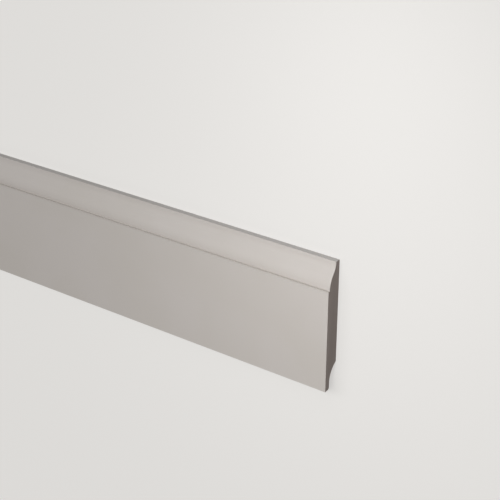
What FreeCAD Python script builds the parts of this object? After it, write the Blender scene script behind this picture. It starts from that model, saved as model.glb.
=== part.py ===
import FreeCAD, Part
import math
import os

# Skirting board length, in millimetres
# One run of moulded board stock, all one section from end to end, with both ends sawn square.
# It lies face up on its back, as a single length is stored on a floor:
# X runs along the length, Y across it from the foot (-Y) to the moulded top edge (+Y), and Z up
# through the thickness. The origin is in the middle of the length and height, on the floor.
# Heights are measured from the foot that will stand on the finished floor, and depths from the
# face that will look into the room.

# Overall sizes
LENGTH = 2400.0
HEIGHT = 120.0
THICKNESS = 16.0

# Moulded top edge: a quirk cut back into the face, then an ogee that leans back a little above its
# slope and ends at a narrow flat top
MOULDING_HEIGHT = 23.2
QUIRK_DEPTH = 1.9
SLOPE_START = 6.6
SLOPE_RISE = 11.4
CROWN_LEAN = 0.6
TOP_FLAT = 5.3
CONVEX_RADIUS = 20.0
CONCAVE_RADIUS = 12.0

# Relieved foot: a toe in front, and a cove behind it that clears cables and the floor's edge gap
TOE_THICKNESS = 6.1
TOE_CORNER_RADIUS = 2.0
RELIEF_HEIGHT = 22.8
COVE_TURN_HEIGHT = 17.6
COVE_RADIUS = 18.2

# The long outer edges are barely eased, so that paint holds on them
ARRIS_RADIUS = 0.25
SHARP = 0.0

NODE = "skirting_board"

# Points of the outline closer than this are one point
SAME_POINT = 1e-6


def section_corners():
    """The section as straight lines: each corner's height, depth and the radius that rounds it."""
    quirk = HEIGHT - MOULDING_HEIGHT
    slope_foot = quirk + SLOPE_START
    slope_head = slope_foot + SLOPE_RISE
    top_front = THICKNESS - TOP_FLAT
    crown_foot = top_front - CROWN_LEAN
    return [
        (0.0, 0.0, ARRIS_RADIUS),
        (quirk, 0.0, ARRIS_RADIUS),
        (quirk, QUIRK_DEPTH, SHARP),
        (slope_foot, QUIRK_DEPTH, CONVEX_RADIUS),
        (slope_head, crown_foot, CONCAVE_RADIUS),
        (HEIGHT, top_front, ARRIS_RADIUS),
        (HEIGHT, THICKNESS, ARRIS_RADIUS),
        (RELIEF_HEIGHT, THICKNESS, ARRIS_RADIUS),
        (COVE_TURN_HEIGHT, TOE_THICKNESS, COVE_RADIUS),
        (0.0, TOE_THICKNESS, TOE_CORNER_RADIUS),
    ]


def place(height, depth):
    """A point of the section, on the board's first end."""
    return FreeCAD.Vector(-LENGTH / 2, height - HEIGHT / 2, THICKNESS - depth)


def outline(corners):
    """Closed wire through the corners, each rounded one an arc tangent to the lines that meet there.

    An arc of radius r takes r * tan(turn / 2) off both its lines. Where the arcs at the two ends
    of a line want more than its length, they shrink in proportion until they meet.
    """
    points = [place(height, depth) for height, depth, _ in corners]
    count = len(points)
    lines = [points[(i + 1) % count] - points[i] for i in range(count)]
    turns = [lines[i - 1].getAngle(lines[i]) for i in range(count)]
    reach = [corners[i][2] * math.tan(turns[i] / 2) for i in range(count)]
    fit = [lines[i].Length / max(lines[i].Length, reach[i] + reach[(i + 1) % count]) for i in range(count)]

    starts, ends, arcs = [], [], []
    for i in range(count):
        arriving = lines[i - 1] / lines[i - 1].Length
        leaving = lines[i] / lines[i].Length
        share = min(fit[i - 1], fit[i])
        starts.append(points[i] - arriving * reach[i] * share)
        ends.append(points[i] + leaving * reach[i] * share)
        inward = (leaving - arriving) / (leaving - arriving).Length
        sagitta = corners[i][2] * share * (1 / math.cos(turns[i] / 2) - 1)
        arcs.append((starts[i], points[i] + inward * sagitta, ends[i]))

    edges = []
    for i in range(count):
        if corners[i][2] > SHARP:
            edges.append(Part.Arc(*arcs[i]).toShape())
        following = starts[(i + 1) % count]
        if ends[i].distanceToPoint(following) > SAME_POINT:
            edges.append(Part.LineSegment(ends[i], following).toShape())
    return Part.Wire(edges)


def skirting_board():
    """The section run along the whole length."""
    section = Part.Face(outline(section_corners()))
    return section.extrude(FreeCAD.Vector(LENGTH, 0, 0))


board = skirting_board()
os.makedirs("parts", exist_ok=True)
board.exportStep(os.path.join("parts", NODE + ".step"))
print(NODE, "valid", board.isValid(), "solids", len(board.Solids))
print("box", board.BoundBox, "section mm2", round(board.Volume / LENGTH, 2))
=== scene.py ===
import math

import bpy
import numpy as np
from mathutils import Matrix, Vector


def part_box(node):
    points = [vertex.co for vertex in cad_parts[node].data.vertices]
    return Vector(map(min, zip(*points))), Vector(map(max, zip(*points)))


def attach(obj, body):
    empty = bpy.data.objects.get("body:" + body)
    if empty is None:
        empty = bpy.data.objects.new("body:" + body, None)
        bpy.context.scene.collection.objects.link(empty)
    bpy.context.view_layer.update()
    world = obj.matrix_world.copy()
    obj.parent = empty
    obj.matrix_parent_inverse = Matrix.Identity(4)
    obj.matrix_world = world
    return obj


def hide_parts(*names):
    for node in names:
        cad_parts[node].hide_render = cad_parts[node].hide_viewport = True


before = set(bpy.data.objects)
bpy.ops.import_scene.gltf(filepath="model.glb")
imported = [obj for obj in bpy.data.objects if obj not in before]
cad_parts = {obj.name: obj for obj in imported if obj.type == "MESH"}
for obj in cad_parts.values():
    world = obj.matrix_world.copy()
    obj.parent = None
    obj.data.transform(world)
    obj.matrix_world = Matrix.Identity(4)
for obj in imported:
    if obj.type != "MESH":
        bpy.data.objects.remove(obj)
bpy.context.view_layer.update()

# The board
# One length of skirting, run from medium density fibreboard on a four-sided moulder: a quirk and
# an ogee along the top edge, and a cove behind the foot. It is primed on all sides and lies face
# up on its back. Heights go up from its foot and depths go back from its face, all in metres.

MM = 0.001
low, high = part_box("skirting_board")
LENGTH, HEIGHT, THICKNESS = high - low

MOULDING_HEIGHT = 23.2 * MM
QUIRK_DEPTH = 1.9 * MM
SLOPE_START = 6.6 * MM
SLOPE_RISE = 11.4 * MM
CROWN_LEAN = 0.6 * MM
TOP_FLAT = 5.3 * MM
CONVEX_RADIUS = 20.0 * MM
CONCAVE_RADIUS = 12.0 * MM
TOE_THICKNESS = 6.1 * MM
TOE_CORNER_RADIUS = 2.0 * MM
RELIEF_HEIGHT = 22.8 * MM
COVE_TURN_HEIGHT = 17.6 * MM
COVE_RADIUS = 18.2 * MM
ARRIS_RADIUS = 0.25 * MM
QUIRK_ARRIS = 0.10 * MM
QUIRK_FILLET = 0.05 * MM
END_ARRIS = 0.08 * MM
ARC_STEPS = 12
STATION_SPACING = 40.0 * MM

quirk = HEIGHT - MOULDING_HEIGHT
slope_foot = quirk + SLOPE_START
top_front = THICKNESS - TOP_FLAT
corners = np.array([
    # height, depth, radius of the arc that rounds the corner
    (0.0, 0.0, ARRIS_RADIUS),
    (quirk, 0.0, QUIRK_ARRIS),
    (quirk, QUIRK_DEPTH, QUIRK_FILLET),
    (slope_foot, QUIRK_DEPTH, CONVEX_RADIUS),
    (slope_foot + SLOPE_RISE, top_front - CROWN_LEAN, CONCAVE_RADIUS),
    (HEIGHT, top_front, ARRIS_RADIUS),
    (HEIGHT, THICKNESS, ARRIS_RADIUS),
    (RELIEF_HEIGHT, THICKNESS, ARRIS_RADIUS),
    (COVE_TURN_HEIGHT, TOE_THICKNESS, COVE_RADIUS),
    (0.0, TOE_THICKNESS, TOE_CORNER_RADIUS),
])


def section(corners, steps):
    """Points of the rounded outline and the normals there, as two arrays of (height, depth).

    Each corner becomes an arc tangent to its two lines: it starts r * tan(turn / 2) before the
    corner, and after a share t of its turn it has gone r * sin(t * turn) along the arriving line
    and r * (1 - cos(t * turn)) towards the side that the outline turns to.
    """
    points, radius = corners[:, :2], corners[:, 2]
    leaving = np.roll(points, -1, axis=0) - points
    leaving /= np.linalg.norm(leaving, axis=1)[:, None]
    arriving = np.roll(leaving, 1, axis=0)
    cross = arriving[:, 0] * leaving[:, 1] - arriving[:, 1] * leaving[:, 0]
    turn = np.arctan2(cross, (arriving * leaving).sum(axis=1))
    side = np.sign(turn)[:, None] * np.stack([-arriving[:, 1], arriving[:, 0]], axis=1)
    start = points - arriving * (radius * np.tan(np.abs(turn) / 2))[:, None]
    angle = np.linspace(0, 1, steps + 1)[None, :] * np.abs(turn)[:, None]
    along = (radius[:, None] * np.sin(angle))[:, :, None] * arriving[:, None, :]
    aside = (radius[:, None] * (1 - np.cos(angle)))[:, :, None] * side[:, None, :]
    outline = start[:, None, :] + along + aside
    ahead = np.cos(angle)[:, :, None] * arriving[:, None, :]
    sideways = np.sin(angle)[:, :, None] * side[:, None, :]
    heading = ahead + sideways
    outward = np.stack([heading[:, :, 1], -heading[:, :, 0]], axis=2)
    return outline.reshape(-1, 2), outward.reshape(-1, 2)


def run_along(outline, outward, half_length, arris, spacing):
    """The section carried along X as rings of points, with the ends sawn square.

    Rings are evenly spaced. The last two at each end form the arris: there the outline steps in
    by the arris while x goes out by it. Returns points, faces and the normal at each face corner.
    """
    inner = np.linspace(-1, 1, 2 + int(2 * half_length / spacing)) * (half_length - arris)
    stations = np.concatenate([[-half_length], inner, [half_length]])
    step_in = np.zeros(len(stations))
    step_in[[0, -1]] = arris
    rings = outline[None, :, :] - step_in[:, None, None] * outward[None, :, :]
    x = np.broadcast_to(stations[:, None], rings.shape[:2])
    points = np.stack([x, rings[:, :, 0] - HEIGHT / 2, THICKNESS - rings[:, :, 1]], axis=2)
    flank = np.stack([np.zeros(len(outward)), outward[:, 0], -outward[:, 1]], axis=1)
    normals = np.broadcast_to(flank[None], points.shape).copy()
    normals[0] = (-1, 0, 0)
    normals[-1] = (1, 0, 0)

    count = len(outline)
    ring = np.arange(len(stations) - 1)[:, None] * count
    this = np.arange(count)[None, :]
    following = np.roll(this, -1, axis=1)
    next_ring = ring + count
    quads = np.stack([ring + this, next_ring + this, next_ring + following, ring + following], axis=2)
    quads = quads.reshape(-1, 4)
    first_end = np.arange(count)
    last_end = (np.arange(count) + (len(stations) - 1) * count)[::-1]
    points, normals = points.reshape(-1, 3), normals.reshape(-1, 3)
    faces = quads.tolist() + [first_end.tolist(), last_end.tolist()]
    corner_normals = normals[np.concatenate([quads.ravel(), first_end, last_end])]
    return points, faces, corner_normals


outline, outward = section(corners, ARC_STEPS)
points, faces, corner_normals = run_along(outline, outward, LENGTH / 2, END_ARRIS, STATION_SPACING)
mesh = bpy.data.meshes.new("skirting_board_run")
mesh.from_pydata(points.tolist(), [], faces)
mesh.polygons.foreach_set("use_smooth", np.ones(len(faces), bool))
mesh.normals_split_custom_set(corner_normals.tolist())

# Three finishes: primer on the moulded faces, thin primer on the back from its top arris down to
# the toe's corner, and soaked primer on the two sawn ends.
MOULDED, BACK, SAWN = 0, 1, 2
PER_CORNER = ARC_STEPS + 1
BACK_TOP_CORNER, TOE_CORNER = 6, 9
finish = np.full(len(outline), MOULDED)
finish[BACK_TOP_CORNER * PER_CORNER + ARC_STEPS:TOE_CORNER * PER_CORNER + ARC_STEPS] = BACK
ring_gaps = (len(faces) - 2) // len(outline)
face_finishes = np.concatenate([np.tile(finish, ring_gaps), [SAWN, SAWN]])
mesh.polygons.foreach_set("material_index", face_finishes)
board = bpy.data.objects.new("skirting_board_run", mesh)
bpy.context.scene.collection.objects.link(board)


def linear(hex_colour):
    """An sRGB hex colour as linear red, green, blue and an alpha of 1."""
    value = np.array([int(hex_colour[i:i + 2], 16) for i in (1, 3, 5)]) / 255
    curve = np.where(value <= 0.04045, value / 12.92, ((value + 0.055) / 1.055) ** 2.4)
    return (*curve.tolist(), 1.0)


def new_material(name):
    """An empty material with its output node, and the tree that its nodes go into."""
    material = bpy.data.materials.new(name)
    material.use_nodes = True
    material.node_tree.nodes.clear()
    return material, material.node_tree


def add(tree, kind, links=None, **settings):
    """Adds a node. Links go to its inputs, settings to an input or else a property of that name."""
    node = tree.nodes.new("ShaderNode" + kind)
    for name, value in settings.items():
        socket = name.replace("_", " ").title()
        if socket in node.inputs:
            node.inputs[socket].default_value = value
        else:
            setattr(node, name, value)
    for name, source in (links or {}).items():
        tree.links.new(source, node.inputs[name])
    return node


# Sprayed primer on the moulded faces: white water-based acrylic over sanded fibreboard. It gives
# the eye an even, slightly warm off-white with an eggshell sheen, a fine stipple from the spray
# and very faint lines along the board from the moulding knives.
PRIMER = "#C1BBB6"
PRIMER_DEEP = "#BFB9B3"
PRIMER_ROUGHNESS_LOW = 0.60
PRIMER_ROUGHNESS_HIGH = 0.70
DRIFT_SIZE = 70.0 * MM
DRIFT_DETAIL = 2.0
DRIFT_LOW = 0.35
DRIFT_HIGH = 0.6
# The real stipple is about 1 mm across and the lines 0.5 mm apart. Both are drawn coarser, so that
# they just show.
STIPPLE_SIZE = 2.6 * MM
STIPPLE_DETAIL = 1.0
STIPPLE_HEIGHT = 0.012 * MM
KNIFE_LINE_PITCH = 2.4 * MM
KNIFE_LINE_LENGTH = 300.0 * MM
KNIFE_LINE_DETAIL = 2.0
KNIFE_LINE_HEIGHT = 0.006 * MM
# Painted shade along the quirk: the colour greys in a band on both sides of its step, darkest just under
# the step's edge, where the recess is shaded
QUIRK_SHADE_COLOUR = "#BAB4AE"
QUIRK_SHADE_MIDDLE = quirk - 0.2 * MM
QUIRK_SHADE_REACH = 1.8 * MM

primed, tree = new_material("sprayed_acrylic_primer")
place = add(tree, "TexCoord").outputs["Object"]
clouds = add(tree, "TexNoise", {"Vector": place}, scale=1 / DRIFT_SIZE, detail=DRIFT_DETAIL)
drift = add(tree, "MapRange", {"Value": clouds.outputs["Fac"]}, from_min=DRIFT_LOW, from_max=DRIFT_HIGH)
even = add(tree, "MixRGB", {"Fac": drift.outputs["Result"]},
           color1=linear(PRIMER_DEEP), color2=linear(PRIMER))
apart = add(tree, "SeparateXYZ", {"Vector": place})
# Painted shade: near the quirk the primer's colour blends smoothly into the darker grey, fully at the
# band's middle and not at all beyond its reach
from_shade_middle = add(tree, "Math", {0: apart.outputs["Y"]}, operation="SUBTRACT")
from_shade_middle.inputs[1].default_value = QUIRK_SHADE_MIDDLE - HEIGHT / 2
off_shade_middle = add(tree, "Math", {0: from_shade_middle.outputs["Value"]}, operation="ABSOLUTE")
painted_shade = add(tree, "MapRange", {"Value": off_shade_middle.outputs["Value"]}, interpolation_type="SMOOTHSTEP",
              from_max=QUIRK_SHADE_REACH, to_min=1.0, to_max=0.0)
tone = add(tree, "MixRGB", {"Fac": painted_shade.outputs["Result"], "Color1": even.outputs["Color"]},
           color2=linear(QUIRK_SHADE_COLOUR))
stipple = add(tree, "TexNoise", {"Vector": place}, scale=1 / STIPPLE_SIZE, detail=STIPPLE_DETAIL)
along = add(tree, "Mapping", {"Vector": place},
            scale=(1 / KNIFE_LINE_LENGTH, 1 / KNIFE_LINE_PITCH, 1 / KNIFE_LINE_PITCH))
knife_lines = add(tree, "TexNoise", {"Vector": along.outputs["Vector"]},
                  scale=1.0, detail=KNIFE_LINE_DETAIL)
sheen = add(tree, "MapRange", {"Value": stipple.outputs["Fac"]},
            to_min=PRIMER_ROUGHNESS_LOW, to_max=PRIMER_ROUGHNESS_HIGH)
lined = add(tree, "Bump", {"Height": knife_lines.outputs["Fac"]}, distance=KNIFE_LINE_HEIGHT)
stippled = add(tree, "Bump", {"Height": stipple.outputs["Fac"], "Normal": lined.outputs["Normal"]},
               distance=STIPPLE_HEIGHT)
skin = add(tree, "BsdfPrincipled", {
    "Base Color": tone.outputs["Color"],
    "Roughness": sheen.outputs["Result"],
    "Normal": stippled.outputs["Normal"],
})
add(tree, "OutputMaterial", {"Surface": skin.outputs["BSDF"]})

# Thin primer on the back and in the cove: one light roller coat that evens out the suction. It is
# duller and a little browner, with lap streaks along the board and fibre flecks showing through.
THIN_COAT = "#B9AFA7"
THIN_COAT_BARE = "#AC9F94"
LAP_LENGTH = 420.0 * MM
LAP_WIDTH = 14.0 * MM
LAP_DETAIL = 3.0
FLECK_SIZE = 1.6 * MM
FLECK_DETAIL = 3.0
FLECK_RAGGEDNESS = 0.7
FLECK_HEIGHT = 0.02 * MM
THIN_COAT_ROUGHNESS = 0.78
# The laps and the flecks are added, each near 0.5: the coat is barest up to the first of these
# sums and full from the second
COVER_BARE = 0.75
COVER_FULL = 1.1

thin, tree = new_material("thin_roller_primer")
place = add(tree, "TexCoord").outputs["Object"]
rolled = add(tree, "Mapping", {"Vector": place}, scale=(1 / LAP_LENGTH, 1 / LAP_WIDTH, 1 / LAP_WIDTH))
laps = add(tree, "TexNoise", {"Vector": rolled.outputs["Vector"]}, scale=1.0, detail=LAP_DETAIL)
flecks = add(tree, "TexNoise", {"Vector": place},
             scale=1 / FLECK_SIZE, detail=FLECK_DETAIL, roughness=FLECK_RAGGEDNESS)
both = add(tree, "Math", {0: laps.outputs["Fac"], 1: flecks.outputs["Fac"]}, operation="ADD")
cover = add(tree, "MapRange", {"Value": both.outputs["Value"]}, from_min=COVER_BARE, from_max=COVER_FULL)
tone = add(tree, "MixRGB", {"Fac": cover.outputs["Result"]},
           color1=linear(THIN_COAT_BARE), color2=linear(THIN_COAT))
fibrous = add(tree, "Bump", {"Height": flecks.outputs["Fac"]}, distance=FLECK_HEIGHT)
skin = add(tree, "BsdfPrincipled", {
    "Base Color": tone.outputs["Color"],
    "Normal": fibrous.outputs["Normal"],
}, roughness=THIN_COAT_ROUGHNESS)
add(tree, "OutputMaterial", {"Surface": skin.outputs["BSDF"]})

# Primer soaked into the sawn ends: the cut fibres drink it, so the ends are the dullest and
# warmest surfaces, more so in the loose core than in the board's two pressed skins. The crosscut
# saw leaves fine arcs about 0.8 mm apart, drawn at twice that so that they show close up.
SOAKED_SKIN = "#BAAAA0"
SOAKED_CORE = "#B2A298"
SOAKED_ROUGHNESS = 0.88
FIBRE_SIZE = 0.9 * MM
FIBRE_DETAIL = 3.0
FIBRE_RAGGEDNESS = 0.6
FIBRE_HEIGHT = 0.03 * MM
SAW_CENTRE = (0.020, 0.150)
SAW_MARK_PITCH = 1.6 * MM
SAW_MARK_HEIGHT = 0.015 * MM
SAW_MARK_WAVER = 1.0
SAW_MARK_DETAIL = 2.0
# The way from the board's middle plane (0) to its surface (1) is added to the fibres, which are
# near 0.5, so that the border is ragged: the skin begins at the first of these sums and is full at
# the second
PRESSED_SKIN = 3.0 * MM
SKIN_BEGINS = 1.1 - 2 * PRESSED_SKIN / THICKNESS
SKIN_FULL = 1.6
# The rings of a wave texture repeat each 2 pi / 20 of its own units
WAVE_REPEAT = 2 * math.pi / 20

soaked, tree = new_material("primer_soaked_fibreboard")
place = add(tree, "TexCoord").outputs["Object"]
apart = add(tree, "SeparateXYZ", {"Vector": place})
height = add(tree, "MapRange", {"Value": apart.outputs["Z"]}, from_max=THICKNESS, to_min=-1.0)
off_middle = add(tree, "Math", {0: height.outputs["Result"]}, operation="ABSOLUTE")
fibres = add(tree, "TexNoise", {"Vector": place},
             scale=1 / FIBRE_SIZE, detail=FIBRE_DETAIL, roughness=FIBRE_RAGGEDNESS)
ragged = add(tree, "Math", {0: off_middle.outputs["Value"], 1: fibres.outputs["Fac"]}, operation="ADD")
dense = add(tree, "MapRange", {"Value": ragged.outputs["Value"]}, from_min=SKIN_BEGINS, from_max=SKIN_FULL)
tone = add(tree, "MixRGB", {"Fac": dense.outputs["Result"]},
           color1=linear(SOAKED_CORE), color2=linear(SOAKED_SKIN))
centred = add(tree, "Mapping", {"Vector": place}, location=(0.0, -SAW_CENTRE[0], -SAW_CENTRE[1]))
saw_marks = add(tree, "TexWave", {"Vector": centred.outputs["Vector"]}, wave_type="RINGS",
                rings_direction="X", scale=WAVE_REPEAT / SAW_MARK_PITCH,
                distortion=SAW_MARK_WAVER, detail=SAW_MARK_DETAIL)
sawn = add(tree, "Bump", {"Height": saw_marks.outputs["Fac"]}, distance=SAW_MARK_HEIGHT)
fuzzy = add(tree, "Bump", {"Height": fibres.outputs["Fac"], "Normal": sawn.outputs["Normal"]},
            distance=FIBRE_HEIGHT)
skin = add(tree, "BsdfPrincipled", {
    "Base Color": tone.outputs["Color"],
    "Normal": fuzzy.outputs["Normal"],
}, roughness=SOAKED_ROUGHNESS)
add(tree, "OutputMaterial", {"Surface": skin.outputs["BSDF"]})

for material in (primed, thin, soaked):
    mesh.materials.append(material)

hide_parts("skirting_board")
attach(board, "root")

# The floor
# A plain pale sheet of studio paper, wide enough that no view from the sides sees its edge, and a
# plain pale room behind it. Neither is part of the board. Rays from the camera see the paper
# partly as it is lit, with the board's shadow, and partly as one even tone, so it stays pale far
# from the lamps too. What it throws back on the board is dimmer and a little cooler.
FLOOR_HALF = 40.0
PAPER_SEEN = "#E8E6E3"
PAPER_BOUNCE = "#9EA4A9"
PAPER_EVENNESS = 0.7
ROOM_SEEN = "#CBCAC7"
ROOM_GLOW = 0.037

floor_mesh = bpy.data.meshes.new("studio_paper")
floor_mesh.from_pydata(
    [(-FLOOR_HALF, -FLOOR_HALF, 0), (FLOOR_HALF, -FLOOR_HALF, 0), (FLOOR_HALF, FLOOR_HALF, 0),
     (-FLOOR_HALF, FLOOR_HALF, 0)], [], [(0, 1, 2, 3)])
floor = bpy.data.objects.new("studio_paper", floor_mesh)
bpy.context.scene.collection.objects.link(floor)


def seen_rays(tree):
    """1 for a ray that shows a surface, straight or in a gloss or glass, and 0 for one that lights."""
    path = add(tree, "LightPath")
    direct = add(tree, "Math", {0: path.outputs["Is Camera Ray"], 1: path.outputs["Is Glossy Ray"]},
                 operation="ADD")
    either = add(tree, "Math", {0: direct.outputs["Value"], 1: path.outputs["Is Transmission Ray"]},
                 operation="ADD", use_clamp=True)
    return either.outputs["Value"]


paper, tree = new_material("studio_paper")
seen = seen_rays(tree)
lit = add(tree, "BsdfDiffuse", color=linear(PAPER_SEEN))
flat_tone = add(tree, "Emission", color=linear(PAPER_SEEN))
paper_seen = add(tree, "MixShader", {1: lit.outputs["BSDF"], 2: flat_tone.outputs["Emission"]},
                 fac=PAPER_EVENNESS)
bounce = add(tree, "BsdfDiffuse", color=linear(PAPER_BOUNCE))
pale = add(tree, "MixShader", {0: seen, 1: bounce.outputs["BSDF"], 2: paper_seen.outputs["Shader"]})
add(tree, "OutputMaterial", {"Surface": pale.outputs["Shader"]})
floor_mesh.materials.append(paper)

room = bpy.data.worlds.new("studio")
room.use_nodes = True
room.node_tree.nodes.clear()
tree = room.node_tree
seen = seen_rays(tree)
glow = add(tree, "Background", color=linear("#FFFFFF"), strength=ROOM_GLOW)
walls = add(tree, "Background", color=linear(ROOM_SEEN), strength=1.0)
around = add(tree, "MixShader", {0: seen, 1: glow.outputs["Background"], 2: walls.outputs["Background"]})
add(tree, "OutputWorld", {"Surface": around.outputs["Shader"]})
bpy.context.scene.world = room

# The light
# Plain soft studio light: a long soft box over the side of the moulded edge, a weaker and lower
# one beyond the foot, and a faint strip light close over each end, from which the face darkens
# away along the board as it does in the photograph. Each lamp faces a point on the board.
LONG_BOX_SIZE = (7.2, 2.17)
LONG_BOX_DISTANCE = 6.0
MAIN_LEAN = math.radians(31)
MAIN_WATTS = 279.0
FOOT_FILL_LEAN = math.radians(-60)
FOOT_FILL_WATTS = 60.0
STRIP_SIZE = (0.1, 0.4)
STRIP_DISTANCE = 0.28
STRIP_LEAN = math.radians(31)
STRIP_OUT = math.radians(8)
STRIP_WATTS = 0.44


def soft_box(name, aim, distance, lean, out, size, watts):
    """A rectangular lamp that the camera doesn't see, at a distance from the point that it faces.

    From straight above that point it leans over the moulded edge's side, and out along X.
    """
    lamp = bpy.data.lights.new(name, "AREA")
    lamp.shape = "RECTANGLE"
    lamp.size, lamp.size_y = size
    lamp.energy = watts
    turn = Matrix.Rotation(-lean, 4, "X") @ Matrix.Rotation(out, 4, "Y")
    holder = bpy.data.objects.new(name, lamp)
    holder.matrix_world = Matrix.Translation(aim) @ turn @ Matrix.Translation((0, 0, distance))
    holder.visible_camera = False
    bpy.context.scene.collection.objects.link(holder)


middle = (0, 0, THICKNESS)
soft_box("main_box", middle, LONG_BOX_DISTANCE, MAIN_LEAN, 0, LONG_BOX_SIZE, MAIN_WATTS)
soft_box("foot_fill", middle, LONG_BOX_DISTANCE, FOOT_FILL_LEAN, 0, LONG_BOX_SIZE, FOOT_FILL_WATTS)
for name, way in (("near_strip", 1), ("far_strip", -1)):
    end = (way * LENGTH / 2, 0, THICKNESS)
    soft_box(name, end, STRIP_DISTANCE, STRIP_LEAN, way * STRIP_OUT, STRIP_SIZE, STRIP_WATTS)

# The camera
# The photograph shows the board standing on its foot. The camera keeps its place against the
# board, so it is worked out there and then laid back with it: a quarter turn about X.
FOCAL_LENGTH_PX = 1229.4
IMAGE_WIDTH_PX = 500
SENSOR_WIDTH_MM = 36.0
PITCH_DOWN = math.radians(27.97)
YAW = math.radians(34.45)
FROM_FOOT_CORNER = Vector((432.1, -741.4, 590.0)) * MM

laid_back = Matrix.Rotation(-math.pi / 2, 4, "X")
foot_corner = Vector((LENGTH / 2, -HEIGHT / 2, THICKNESS))
turned = Matrix.Rotation(YAW, 4, "Z") @ Matrix.Rotation(math.pi / 2 - PITCH_DOWN, 4, "X")
camera_data = bpy.data.cameras.new("camera")
camera_data.sensor_width = SENSOR_WIDTH_MM
camera_data.lens = FOCAL_LENGTH_PX / IMAGE_WIDTH_PX * SENSOR_WIDTH_MM
camera = bpy.data.objects.new("camera", camera_data)
carried = Matrix.Translation(foot_corner + laid_back @ FROM_FOOT_CORNER)
camera.matrix_world = carried @ laid_back @ turned
bpy.context.scene.collection.objects.link(camera)
bpy.context.scene.camera = camera
bpy.context.scene.view_settings.view_transform = "Standard"
